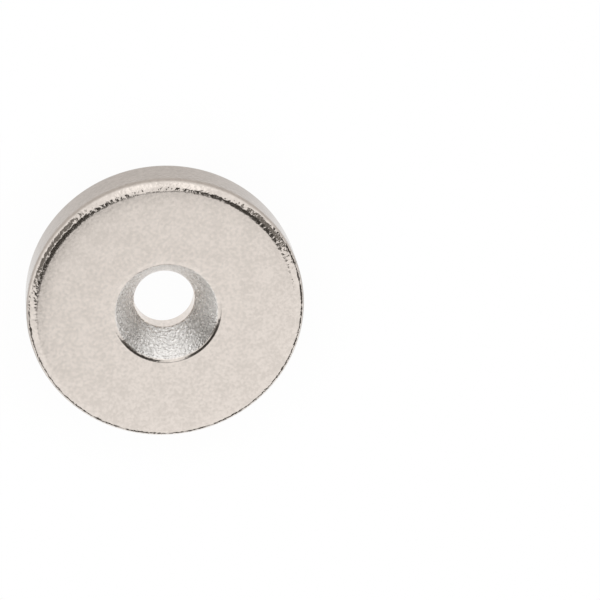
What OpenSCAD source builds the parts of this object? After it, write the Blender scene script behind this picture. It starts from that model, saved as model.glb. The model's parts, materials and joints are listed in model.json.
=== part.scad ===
// Countersunk ring magnet: a sintered and nickel-plated disc with a bore for a
// countersunk screw. It lies on its plain back face, with its countersink up.
// Sizes are in millimetres and include the plating, and all edges are tumbled
// round. The whole magnet is one turned section.

/* [Disc] */
// Outside diameter of the disc
disc_d = 25; // [18:0.5:40]
// Thickness, from the plain back face to the countersunk face
disc_t = 5; // [4:0.25:10]
// Radius of the rounding round both outer edges
rim_r = 1; // [0.3:0.05:1.2]

/* [Screw hole] */
// Nominal diameter of the screw that the hole is for
screw_d = 5; // [3.5:0.5:6]
// Clearance all round the screw's shank
shank_clearance = 0.25; // [0.1:0.05:0.5]
// Diameter of the screw's countersunk head
head_d = 9.2; // [8:0.1:11]
// Clearance all round the head at the face, if the edge were left sharp
head_clearance = 0.05; // [0:0.05:0.5]
// Whole angle of the countersink
countersink_angle = 60; // [50:1:100]

/* [Tumbled edges of the hole] */
// Radius where the countersunk face turns down into the countersink
mouth_r = 0.6; // [0.1:0.05:0.8]
// Radius where the countersink runs into the bore
throat_r = 0.2; // [0.05:0.05:0.5]
// Radius where the bore comes out of the back face
back_r = 0.3; // [0.1:0.05:0.5]

/* [Hidden] */
$fn = 96;

bore_d = screw_d + 2 * shank_clearance;
mouth_d = head_d + 2 * head_clearance;
countersink_depth = (mouth_d - bore_d) / 2 / tan(countersink_angle / 2);
// Height at which the countersink ends and the straight bore begins
throat_z = disc_t - countersink_depth;
nickel = [0.80, 0.77, 0.74];

// The section from the axis outwards, anticlockwise, with sharp corners
corners = [
    [bore_d / 2, 0],
    [disc_d / 2, 0],
    [disc_d / 2, disc_t],
    [mouth_d / 2, disc_t],
    [bore_d / 2, throat_z],
];
roundings = [back_r, rim_r, rim_r, mouth_r, throat_r];

function unit(v) = v / norm(v);

// What a rounding of radius r takes off a corner: a kite from the arc's centre
// to beyond the corner, less the arc's circle. The kite's straight sides leave
// the outline at the points where the circle touches it. On a short edge the
// radius shrinks, so that the rounding reaches no further than halfway.
module corner_waste(corner, before, after, r) {
    to_before = unit(before - corner);
    to_after = unit(after - corner);
    half_angle = acos(to_before * to_after) / 2;
    reach = min(
        r / tan(half_angle),
        norm(before - corner) / 2,
        norm(after - corner) / 2
    );
    fitted_r = reach * tan(half_angle);
    centre = corner + unit(to_before + to_after) * fitted_r / sin(half_angle);
    difference() {
        polygon([
            centre,
            centre + 2 * (corner + to_before * reach - centre),
            centre + 2 * (corner - centre),
            centre + 2 * (corner + to_after * reach - centre),
        ]);
        translate(centre) circle(fitted_r);
    }
}

// A convex outline with each corner rounded by a true arc of its own radius
module rounded_outline(points, radii) {
    count = len(points);
    difference() {
        polygon(points);
        for (i = [0 : count - 1])
            corner_waste(
                points[i],
                points[(i + count - 1) % count],
                points[(i + 1) % count],
                radii[i]
            );
    }
}

module magnet() {
    color(nickel)
        rotate_extrude()
            rounded_outline(corners, roundings);
}

magnet();
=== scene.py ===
# %% [markdown]
# # A countersunk ring magnet
# The real thing is a disc of sintered magnet material, tumbled until its edges are round
# and then plated with nickel all over. It is one piece, so this lesson is about two things:
# a turned form whose roundings are true arcs, and a satin metal that shows a studio.

# %% Load the frame
import json
import math

import bmesh
import bpy
from mathutils import Matrix, Vector


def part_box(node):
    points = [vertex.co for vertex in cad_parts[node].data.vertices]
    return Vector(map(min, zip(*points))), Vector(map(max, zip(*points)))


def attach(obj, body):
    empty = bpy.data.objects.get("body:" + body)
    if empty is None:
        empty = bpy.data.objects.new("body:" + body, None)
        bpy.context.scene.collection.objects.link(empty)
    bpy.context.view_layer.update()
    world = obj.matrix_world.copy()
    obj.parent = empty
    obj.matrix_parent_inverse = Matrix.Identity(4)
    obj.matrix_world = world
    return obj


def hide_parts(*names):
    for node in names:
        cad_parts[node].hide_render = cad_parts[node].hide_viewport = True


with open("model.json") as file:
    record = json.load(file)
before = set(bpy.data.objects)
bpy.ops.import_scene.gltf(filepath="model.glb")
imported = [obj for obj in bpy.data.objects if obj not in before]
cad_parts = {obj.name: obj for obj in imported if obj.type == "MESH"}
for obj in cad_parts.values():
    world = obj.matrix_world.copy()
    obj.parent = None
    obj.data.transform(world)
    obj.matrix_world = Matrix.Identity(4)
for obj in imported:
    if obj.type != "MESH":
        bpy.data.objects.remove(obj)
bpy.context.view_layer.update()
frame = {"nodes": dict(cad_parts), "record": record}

# %% [markdown]
# ## Reading the section off the frame
# The sizes could be typed in again, but then they drift away from the construction. The
# frame holds them all. Its box gives the diameter and the thickness, its flat faces end in
# rings of points whose radii say where each rounding starts, and the countersink's cone is
# the longest straight stretch of the hole's wall.

# %% Measure the frame
MM = 0.001
SAME = 0.001 * MM
lowest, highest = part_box("magnet")
disc_r = highest.x
disc_t = highest.z
frame_points = frame["nodes"]["magnet"].data.vertices
section_points = sorted(
    {(round(v.co.z, 7), round(math.hypot(v.co.x, v.co.y), 7)) for v in frame_points}
)


def radii_at(height):
    """The smallest and largest radius among the frame's points at one height."""
    radii = [radius for z, radius in section_points if abs(z - height) < SAME]
    return min(radii), max(radii)


def heights_at(radius_wanted):
    """The lowest and highest of the frame's points at one radius."""
    heights = [z for z, radius in section_points if abs(radius - radius_wanted) < SAME]
    return min(heights), max(heights)


screw_bore = next(m for m in frame["record"]["mounts"] if m["name"] == "screw_bore")
bore_r = screw_bore["dims"]["r_mm"] * MM
back_inner, back_outer = radii_at(0.0)
face_inner, face_outer = radii_at(disc_t)
bore_low, bore_high = heights_at(bore_r)
print("bore", round(bore_r / MM, 3), "mm in radius, straight from", round(bore_low / MM, 3),
      "to", round(bore_high / MM, 3), "mm")

# %% Find the cone of the countersink
hole_wall = [(z, r) for z, r in section_points if z > bore_high - SAME and r < face_inner + SAME]
(cone_z0, cone_r0), (cone_z1, cone_r1) = max(
    zip(hole_wall, hole_wall[1:]), key=lambda pair: pair[1][0] - pair[0][0]
)
cone_slope = (cone_r1 - cone_r0) / (cone_z1 - cone_z0)
mouth_corner = cone_r0 + (disc_t - cone_z0) * cone_slope
throat_corner = cone_z0 - (cone_r0 - bore_r) / cone_slope
print("countersink", round(math.degrees(2 * math.atan(cone_slope)), 1), "degrees in all,",
      round((disc_t - throat_corner) / MM, 2), "mm deep")

# %% [markdown]
# ## A corner with a true arc
# Bevelling the finished disc would round it too, but the tool draws an ellipse wherever two
# faces don't meet at a right angle, and on polished metal the eye reads the curvature. So
# each corner of the section is one vertex, set where its rounding starts and spun about
# the arc's own centre.

# %% Arcs of the section
def section_place(radius, height):
    """A point of the section, which stands in the plane through the axis and X."""
    return Vector((radius, 0.0, height))


def round_corner(mesh, corner, before, after, reach, steps):
    """Spins a vertex along the arc that starts and ends at reach from a sharp corner."""
    to_before = (before - corner).normalized()
    to_after = (after - corner).normalized()
    half_angle = to_before.angle(to_after) / 2
    arc_r = reach * math.tan(half_angle)
    centre = corner + (to_before + to_after).normalized() * (arc_r / math.sin(half_angle))
    first = mesh.verts.new(corner + to_before * reach)
    spun = bmesh.ops.spin(
        mesh, geom=[first], cent=centre, axis=(0, -1, 0), angle=math.pi - 2 * half_angle, steps=steps
    )
    last = next(item for item in spun["geom_last"] if isinstance(item, bmesh.types.BMVert))
    return first, last


# %% [markdown]
# ## The whole section
# The corners run anticlockwise round the section, from the bore outwards. Between two arcs
# the wall is straight, and each straight stretch gets a point close to either end: those
# narrow bands hold the shading of the flats, which would otherwise bulge towards the arcs.

# %% Build the section
HOLD = 0.06 * MM
ARC_STEPS = {"back": 10, "rim": 28, "mouth": 20, "throat": 8}
corners = [
    (section_place(bore_r, 0), back_inner - bore_r, ARC_STEPS["back"]),
    (section_place(disc_r, 0), disc_r - back_outer, ARC_STEPS["rim"]),
    (section_place(disc_r, disc_t), disc_r - face_outer, ARC_STEPS["rim"]),
    (section_place(mouth_corner, disc_t), face_inner - mouth_corner, ARC_STEPS["mouth"]),
    (section_place(bore_r, throat_corner), throat_corner - bore_high, ARC_STEPS["throat"]),
]


def join_straight(mesh, start, end):
    """Joins two arcs by a straight stretch that is held close to either end."""
    along = (end.co - start.co).normalized() * HOLD
    held = [start, mesh.verts.new(start.co + along), mesh.verts.new(end.co - along), end]
    for a, b in zip(held, held[1:]):
        mesh.edges.new((a, b))


def build_section(mesh):
    """The closed outline of the disc's section."""
    arcs = []
    for i, (corner, reach, steps) in enumerate(corners):
        before = corners[i - 1][0]
        after = corners[(i + 1) % len(corners)][0]
        arcs.append(round_corner(mesh, corner, before, after, reach, steps))
    for i, (first, last) in enumerate(arcs):
        join_straight(mesh, last, arcs[(i + 1) % len(arcs)][0])


# %% [markdown]
# ## Turning the disc
# A lathe makes this shape, and the spin operator is a lathe: it sweeps the outline once
# round the axis and merges the last step with the first. A cylinder with a hole cut by a
# boolean would leave long triangles that spoil the reflections near the roundings.

# %% Spin the section
TURN_STEPS = 360


def smooth_object(name, mesh, material):
    """Turns a bmesh into a smooth shaded object at the origin."""
    bmesh.ops.remove_doubles(mesh, verts=mesh.verts[:], dist=SAME)
    bmesh.ops.recalc_face_normals(mesh, faces=mesh.faces[:])
    for face in mesh.faces:
        face.smooth = True
    data = bpy.data.meshes.new(name)
    mesh.to_mesh(data)
    mesh.free()
    data.materials.append(material)
    obj = bpy.data.objects.new(name, data)
    bpy.context.scene.collection.objects.link(obj)
    print(name, len(data.vertices), "points", len(data.polygons), "faces")
    return obj


def build_magnet(material):
    """The plated magnet as one turned mesh."""
    mesh = bmesh.new()
    build_section(mesh)
    bmesh.ops.spin(
        mesh, geom=mesh.verts[:] + mesh.edges[:], cent=(0, 0, 0), axis=(0, 0, 1),
        angle=2 * math.pi, steps=TURN_STEPS, use_merge=True
    )
    return smooth_object("plated_magnet", mesh, material)


# %% [markdown]
# ## Shader maths as Python
# A node tree drawn by hand is hard to read in a script. Here a small class wraps a socket,
# and each operator on it adds the Math node that it stands for, so that a mask reads like
# a formula.

# %% A socket that can be calculated with
class Value:
    """A number, colour or vector in a node tree. The operators are for numbers."""

    def __init__(self, tree, socket):
        self.tree = tree
        self.socket = socket

    def math(self, operation, *others):
        return self.tree.add("ShaderNodeMath", {"operation": operation}, (self, *others))

    def other_output(self, name):
        """Another output of the node that this value comes from."""
        return Value(self.tree, self.socket.node.outputs[name])

    def __add__(self, other):
        return self.math("ADD", other)

    def __sub__(self, other):
        return self.math("SUBTRACT", other)

    def __mul__(self, other):
        return self.math("MULTIPLY", other)

    def __rsub__(self, other):
        return self.tree.add("ShaderNodeMath", {"operation": "SUBTRACT"}, (other, self))

    __radd__ = __add__


class Tree:
    """A node tree that makes its nodes by type, settings and inputs."""

    def __init__(self, owner):
        owner.use_nodes = True
        self.nodes = owner.node_tree.nodes
        self.links = owner.node_tree.links
        self.nodes.clear()

    def add(self, node_type, settings=None, inputs=(), output=0):
        """Adds a node. Inputs are given in order, or by name or number in a dictionary."""
        node = self.nodes.new(node_type)
        for name, setting in (settings or {}).items():
            setattr(node, name, setting)
        pairs = inputs.items() if isinstance(inputs, dict) else enumerate(inputs)
        for key, value in pairs:
            self.feed(node.inputs[key], value)
        if node.outputs:
            return Value(self, node.outputs[output])

    def feed(self, socket, value):
        """Links a value to a socket, or sets the socket's own number or colour."""
        if isinstance(value, Value):
            self.links.new(value.socket, socket)
        else:
            socket.default_value = value

    def ease(self, value, low, high, at_low=0.0, at_high=1.0):
        """Runs smoothly from at_low to at_high while the value goes from low to high."""
        return self.add(
            "ShaderNodeMapRange", {"interpolation_type": "SMOOTHSTEP"},
            {"Value": value, "From Min": low, "From Max": high, "To Min": at_low, "To Max": at_high}
        )

    def noise(self, place, size, detail=2.0, roughness=0.5):
        """Cloudy noise from 0 to 1 whose features are about the given size."""
        return self.add(
            "ShaderNodeTexNoise", None,
            {"Vector": place, "Scale": 1 / size, "Detail": detail, "Roughness": roughness}
        )

    def blend(self, share, colour, other, blend_type="MIX"):
        """Puts a share of the other colour over the first one."""
        return self.add(
            "ShaderNodeMix", {"data_type": "RGBA", "blend_type": blend_type},
            {0: share, 6: colour, 7: other}, output=2
        )


# %% [markdown]
# ## Where each kind of surface is
# Masks tell the surfaces apart, and all of them come from the radius and the height, so they
# stay on the piece when it is moved. They are worked out from the section, so a wider
# countersink takes its rough finish along.

# %% Masks from the section
SINK_OUTSIDE, SINK_INSIDE = 0.05 * MM, 0.15 * MM
SINK_RISE = 0.2 * MM
WALL_START, WALL_FULL = 0.22 * MM, 0.06 * MM
RIM_START, RIM_FULL = 0.1 * MM, 0.3 * MM
MOUTH_BLEND = 0.1 * MM
GRAIN_FADED, GRAIN_FULL = 2.0 * MM, 0.9 * MM
GRAIN_LEFT = 0.25


def surface_masks(tree, place):
    """The radius, then masks of the countersink, the wall, the upper rim and the edges."""
    x = tree.add("ShaderNodeSeparateXYZ", None, [place])
    y = x.other_output("Y")
    z = x.other_output("Z")
    radius = (x * x + y * y).math("SQRT")
    in_sink = (
        tree.ease(radius, mouth_corner + SINK_OUTSIDE, mouth_corner - SINK_INSIDE)
        * tree.ease(z, bore_high, throat_corner + SINK_RISE)
    )
    on_wall = tree.ease(radius, disc_r - WALL_START, disc_r - WALL_FULL)
    on_rim = tree.ease(radius, face_outer - RIM_START, face_outer + RIM_FULL)
    grain_share = tree.ease(z, disc_t - GRAIN_FADED, disc_t - GRAIN_FULL, GRAIN_LEFT, 1.0)
    upper_rim = on_rim * grain_share
    near_mouth = tree.ease(radius, face_inner + MOUTH_BLEND, face_inner - MOUTH_BLEND)
    on_edge = on_rim.math("MAXIMUM", near_mouth * (1 - in_sink))
    return radius, in_sink, on_wall, upper_rim, on_edge


# %% [markdown]
# ## The relief of the plating
# The plating follows the grain of the sintered body. It is nearly flat on the ground faces,
# a little pebbled where tumbling rounded the edges, and coarse in the countersink, so each
# gets a bump of its own grain under its own mask. One even noise would make the faces too
# rough or the hole too smooth.
#
# Two slow tilts go on top, in the shading only. Tumbling could roll the faces off by a few
# hundredths of a millimetre towards the rim, too little to see as shape. And in the
# countersink the shading normal leans up, so that it shines like a flatter cone. Fine steps
# left by the cutter could do that, but this is a guess, and it was chosen for the look. The
# shape itself stays the true cone.

# %% Height and facing
FACE_GRAIN = (0.36 * MM, 0.02)
RIM_GRAIN = (0.30 * MM, 0.15)
SINK_GRAIN = (0.20 * MM, 0.42)
ROLL_START = 10.0 * MM
ROLL_OFF = 16.7
SINK_LEAN = 0.32


def grain(tree, place, size, slope):
    """Height of a pebbled surface whose lumps have the given size and steepness."""
    lumps = tree.noise(place, size, detail=1.0, roughness=0.4) - 0.5
    return lumps * (size * slope)


def leaning_normal(tree, in_sink):
    """The surface's normal, which leans up inside the countersink."""
    normal = tree.add("ShaderNodeNewGeometry", output="Normal")
    upward = tree.add(
        "ShaderNodeVectorTransform",
        {"vector_type": "VECTOR", "convert_from": "OBJECT", "convert_to": "WORLD"},
        [(0, 0, SINK_LEAN)]
    )
    lean = tree.add(
        "ShaderNodeVectorMath", {"operation": "SCALE"}, {"Vector": upward, "Scale": in_sink}
    )
    leaning = tree.add("ShaderNodeVectorMath", {"operation": "ADD"}, [normal, lean])
    return tree.add("ShaderNodeVectorMath", {"operation": "NORMALIZE"}, [leaning])


def relief(tree, place, radius, in_sink, upper_rim):
    """The bumped normal of the plating."""
    past_flat = (radius - ROLL_START).math("MAXIMUM", 0.0)
    height = (
        grain(tree, place, *FACE_GRAIN)
        + grain(tree, place, *RIM_GRAIN) * upper_rim
        + grain(tree, place, *SINK_GRAIN) * in_sink
        - past_flat * past_flat * ROLL_OFF
    )
    return tree.add(
        "ShaderNodeBump", None,
        {"Strength": 1.0, "Distance": 1.0, "Height": height, "Normal": leaning_normal(tree, in_sink)}
    )


# %% [markdown]
# ## Nickel plating
# Nickel is a warm silver, and one flat colour would look like paint. Its tone wanders a
# little in patches and more in a fine mottle, which also moves the roughness. The
# countersink has dark spots of painted shade, and the outer wall is darkened all over by
# painted shade, which stands for the shaded floor that it mirrors. The rounded edges are the
# smoothest. Between its spots the countersink is given a greyer metal than the face, made
# paler as a painted highlight, so that its patch shines without strong lamps.

# %% Make the plating
NICKEL_LIGHT = (0.800, 0.730, 0.672, 1)
NICKEL_DARK = (0.690, 0.630, 0.577, 1)
# Painted highlight: a paler, greyer metal for the countersink.
SINK_PAINTED_HIGHLIGHT = (0.960, 0.945, 0.925, 1)
# Painted shade: the dark spots in the countersink.
SINK_PAINTED_SHADE = (0.210, 0.203, 0.192, 1)
# Painted shade: darkens the outer wall all over.
WALL_PAINTED_SHADE = (0.560, 0.540, 0.525, 1)
PAINTED_HIGHLIGHT_SHARE = 0.8
PAINTED_SHADE_SHARE = 0.30
CLOUD_SIZE = 1.6 * MM
MOTTLE_SIZE = 0.34 * MM
SPOT_SIZE = 0.26 * MM
CLOUD_SHARE = 0.3
TONE_RANGE = (0.36, 0.64)
SPOT_RANGE = (0.38, 0.64)
SATIN = 0.23
MOTTLE_ROUGHNESS = 0.10
EDGE_POLISH = 0.10
SINK_ROUGHNESS = 0.05


def nickel_plating():
    """The plating of the whole magnet, from its height and radius and from noise."""
    material = bpy.data.materials.new("nickel_plating")
    tree = Tree(material)
    place = tree.add("ShaderNodeTexCoord", output="Object")
    radius, in_sink, on_wall, upper_rim, on_edge = surface_masks(tree, place)
    clouds = tree.noise(place, CLOUD_SIZE)
    mottle = tree.noise(place, MOTTLE_SIZE, roughness=0.6)
    spots = tree.noise(place, SPOT_SIZE, detail=3.0, roughness=0.6)
    tone = tree.ease(clouds * CLOUD_SHARE + mottle * (1 - CLOUD_SHARE), *TONE_RANGE)
    # Painted shade in spots inside the countersink.
    painted_shade = tree.ease(spots, *SPOT_RANGE) * in_sink * PAINTED_SHADE_SHARE
    nickel = tree.blend(tone, NICKEL_DARK, NICKEL_LIGHT)
    # Painted highlight: the countersink is made paler.
    with_painted_highlight = tree.blend(in_sink * PAINTED_HIGHLIGHT_SHARE, nickel, SINK_PAINTED_HIGHLIGHT)
    with_painted_shade = tree.blend(painted_shade, with_painted_highlight, SINK_PAINTED_SHADE)
    # Painted shade: the outer wall is darkened.
    colour = tree.blend(on_wall, with_painted_shade, WALL_PAINTED_SHADE, "MULTIPLY")
    uneven = SATIN + (mottle - 0.5) * MOTTLE_ROUGHNESS
    roughness = uneven - on_edge * EDGE_POLISH + in_sink * SINK_ROUGHNESS
    normal = relief(tree, place, radius, in_sink, upper_rim)
    plating = tree.add(
        "ShaderNodeBsdfPrincipled", None,
        {"Base Color": colour, "Metallic": 1.0, "Roughness": roughness, "Normal": normal}
    )
    tree.add("ShaderNodeOutputMaterial", None, {"Surface": plating})
    print("nickel_plating", len(tree.nodes), "nodes")
    return material


magnet = build_magnet(nickel_plating())
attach(magnet, "root")
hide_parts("magnet")

# %% [markdown]
# ## A white background that isn't a lamp
# More light would make a background white, and bleach the magnet too. Here the background
# is white of strength one to the eye, to metal and to glass, and only to them, so that the
# magnet mirrors the same white that stands behind it, apart from the flags and strips
# further down. Light that falls on things comes from the room at a plain level.

# %% Whiten the room
SOFT_LIGHT = (1.0, 0.978, 0.942, 1)
SOFT_LEVEL = 0.9
WHITE = (1, 1, 1, 1)


def shows_background(tree):
    """One for the eye, for metal and for glass, and nothing for light that falls on things."""
    to_eye = tree.add("ShaderNodeLightPath", output="Is Camera Ray")
    to_metal = to_eye.other_output("Is Glossy Ray")
    through_glass = to_eye.other_output("Is Transmission Ray")
    return to_eye.math("MAXIMUM", to_metal).math("MAXIMUM", through_glass)


def whiten_room():
    """A world that looks white and gives plain soft light."""
    world = bpy.data.worlds.new("white_room")
    bpy.context.scene.world = world
    tree = Tree(world)
    light = tree.add("ShaderNodeBackground", None, {"Color": SOFT_LIGHT, "Strength": SOFT_LEVEL})
    white = tree.add("ShaderNodeBackground", None, {"Color": WHITE, "Strength": 1.0})
    room = tree.add("ShaderNodeMixShader", None, [shows_background(tree), light, white])
    tree.add("ShaderNodeOutputWorld", None, {"Surface": room})


whiten_room()

# %% [markdown]
# ## The floor
# A round white card. Most of it is the same white as the room, and the rest is real paint,
# which takes the magnet's shadow. Towards its edge the paint fades out, so the card runs into
# the room without a line. It lies a hair below the magnet, because two faces at one height
# flicker, and it is clear from below, so that the magnet's back can be seen.

# %% Lay the floor
CARD_R = 21 * MM
CARD_DROP = 0.02 * MM
CARD_PAINT = (0.66, 0.64, 0.62, 1)
CARD_CORNERS = 128
WHITE_SHARE = 0.97
ALL_WHITE_FROM = 0.98 * CARD_R
PAINT_ROUGHNESS = 0.9


def card_paint():
    """Paint with a share of plain white, on the upper side only."""
    material = bpy.data.materials.new("white_card")
    tree = Tree(material)
    place = tree.add("ShaderNodeTexCoord", output="Object")
    from_middle = tree.add("ShaderNodeVectorMath", {"operation": "LENGTH"}, [place], output="Value")
    share = tree.ease(from_middle, disc_r, ALL_WHITE_FROM, WHITE_SHARE, 1.0)
    paint = tree.add(
        "ShaderNodeBsdfPrincipled", None, {"Base Color": CARD_PAINT, "Roughness": PAINT_ROUGHNESS}
    )
    white = tree.add("ShaderNodeEmission", None, {"Color": WHITE, "Strength": 1.0})
    top = tree.add("ShaderNodeMixShader", None, [shows_background(tree) * share, paint, white])
    from_below = tree.add("ShaderNodeNewGeometry", output="Backfacing")
    clear = tree.add("ShaderNodeBsdfTransparent")
    both = tree.add("ShaderNodeMixShader", None, [from_below, top, clear])
    tree.add("ShaderNodeOutputMaterial", None, {"Surface": both})
    return material


def lay_card():
    """A flat round card under the magnet."""
    mesh = bmesh.new()
    bmesh.ops.create_circle(mesh, cap_ends=True, radius=CARD_R, segments=CARD_CORNERS)
    card = smooth_object("white_card", mesh, card_paint())
    card.location.z = -CARD_DROP
    return card


lay_card()

# %% [markdown]
# ## Flags
# Bright metal in a white room has nothing to draw it: face, rim and wall run together. So
# this studio stands dark cards where the rim mirrors them, as product studios do. To the
# camera the flat face mirrors one direction, and the rounded edges mirror rings of
# directions about it. The collar follows the near half of such a ring and draws a thin line
# inside the rim. The two high flags widen it at the sides, and the far one, under the
# horizon, draws the far edge. The two low flags darken the flanks of the hole. They are
# grey, because they stand where the face mirrors them from the side.
#
# The cards are bent round the magnet, so an arc swept about an axis makes each one. Only
# metal sees them. They suit this camera, and cover about a quarter of the room above the
# floor. So in about a quarter of all other views the face mirrors a flag and looks dark.

# %% Stand the flags
FLAG_DISTANCE = 300 * MM
FLAG_BLACK = (0.050, 0.047, 0.043, 1)
FLAG_GREY = (0.200, 0.195, 0.190, 1)
STEPS_OUTWARD = 12
STEPS_ROUND = 36
CAMERA_AZIMUTH = 110.0
CAMERA_TILT = 24.0


def direction(azimuth, elevation):
    """A unit vector. The azimuth runs anticlockwise from X, in degrees."""
    a = math.radians(azimuth)
    e = math.radians(elevation)
    return Vector((math.cos(a) * math.cos(e), math.sin(a) * math.cos(e), math.sin(e)))


def matt_paint(name, colour):
    """Matt card of one colour."""
    material = bpy.data.materials.new(name)
    tree = Tree(material)
    paint = tree.add(
        "ShaderNodeBsdfPrincipled", None, {"Base Color": colour, "Roughness": PAINT_ROUGHNESS}
    )
    tree.add("ShaderNodeOutputMaterial", None, {"Surface": paint})
    return material


def stand_flag(name, axis, start_azimuth, turn, nearest, farthest, material):
    """A card from nearest to farthest off the axis, swept by turn, all in degrees."""
    mesh = bmesh.new()
    across = axis.cross(direction(start_azimuth, 0)).normalized()
    first = mesh.verts.new(Matrix.Rotation(math.radians(nearest), 3, across) @ axis * FLAG_DISTANCE)
    bmesh.ops.spin(
        mesh, geom=[first], cent=(0, 0, 0), axis=across,
        angle=math.radians(farthest - nearest), steps=STEPS_OUTWARD
    )
    bmesh.ops.spin(
        mesh, geom=mesh.verts[:] + mesh.edges[:], cent=(0, 0, 0), axis=axis,
        angle=math.radians(turn), steps=STEPS_ROUND
    )
    flag = smooth_object(name, mesh, material)
    flag.visible_camera = False
    flag.visible_diffuse = False
    flag.visible_shadow = False


upright = direction(0, 90)
mirror_way = direction(CAMERA_AZIMUTH + 180, 90 - CAMERA_TILT)
black = matt_paint("black_flag", FLAG_BLACK)
grey = matt_paint("grey_flag", FLAG_GREY)
for name, axis, start_azimuth, turn, nearest, farthest, paint in [
    ("collar_flag", mirror_way, 28, 160, 15, 22, black),
    ("left_high_flag", mirror_way, 119, 60, 20, 58, black),
    ("right_high_flag", mirror_way, 30, 60, 20, 56, black),
    ("left_low_flag", upright, 144, 46, 50, 88, grey),
    ("right_low_flag", upright, 8, 30, 50, 88, grey),
    ("far_flag", upright, 200, 180, 91, 110, black),
]:
    stand_flag(name, axis, start_azimuth, turn, nearest, farthest, paint)

# %% [markdown]
# ## Soft lamps
# The overhead one gives the floor its shadow and stays out of the metal. The two strips are
# tall and narrow. They stand in the gap between the flags, where they light one arc of the
# rim and one patch of the countersink. They are only a little brighter than white, so that
# the face isn't bleached in the views where it mirrors one of them.

# %% Add the lamps
LAMP_DISTANCE = 400 * MM
OVERHEAD_SIZE = 300 * MM
OVERHEAD_POWER = 0.30
STRIP_WIDTH = 90 * MM
STRIP_HEIGHT = 360 * MM
STRIP_ELEVATION = 25
STRIP_POWER = 0.028


def soft_lamp(name, azimuth, elevation, width, height, power):
    """A rectangular lamp that faces the magnet."""
    data = bpy.data.lights.new(name, "AREA")
    data.shape = "RECTANGLE"
    data.size = width
    data.size_y = height
    data.energy = power
    lamp = bpy.data.objects.new(name, data)
    place = direction(azimuth, elevation)
    lamp.location = place * LAMP_DISTANCE
    lamp.rotation_euler = place.to_track_quat("Z", "Y").to_euler()
    bpy.context.scene.collection.objects.link(lamp)
    return lamp


overhead = soft_lamp("overhead", 100, 84, OVERHEAD_SIZE, OVERHEAD_SIZE, OVERHEAD_POWER)
overhead.visible_glossy = False
for name, azimuth in (("right_strip", 76), ("left_strip", 106)):
    soft_lamp(name, azimuth, STRIP_ELEVATION, STRIP_WIDTH, STRIP_HEIGHT, STRIP_POWER)

# %% [markdown]
# ## The camera
# A long lens, high above the table and turned, so that the magnet's far wall stands at the
# top of the picture. It keeps well back, so the disc's far and near sides look alike in size.

# %% Place the camera
CAMERA_ROLL = 162.0
CAMERA_DISTANCE = 16.67 * disc_r
AIM_RIGHT = 1.004 * disc_r
AIM_UP = -0.062 * disc_r
SENSOR = 36.0
LENS = 136.6


def place_camera():
    """Turns the camera to the magnet and makes it the scene's camera."""
    back = direction(CAMERA_AZIMUTH, 90 - CAMERA_TILT)
    level_right = upright.cross(back).normalized()
    right = Matrix.Rotation(math.radians(CAMERA_ROLL), 3, back) @ level_right
    up = back.cross(right)
    aim = right * AIM_RIGHT + up * AIM_UP
    data = bpy.data.cameras.new("camera")
    data.lens = LENS
    data.sensor_width = SENSOR
    data.clip_start = 10 * MM
    camera = bpy.data.objects.new("camera", data)
    turn = Matrix((right, up, back)).transposed().to_4x4()
    camera.matrix_world = Matrix.Translation(aim + back * CAMERA_DISTANCE) @ turn
    bpy.context.scene.collection.objects.link(camera)
    bpy.context.scene.camera = camera
    print("camera at", [round(v / MM, 1) for v in camera.matrix_world.translation], "mm")


place_camera()

# %% [markdown]
# ## The picture
# The colours are shown with the Standard view transform.

# %% Finish
bpy.context.scene.view_settings.view_transform = "Standard"
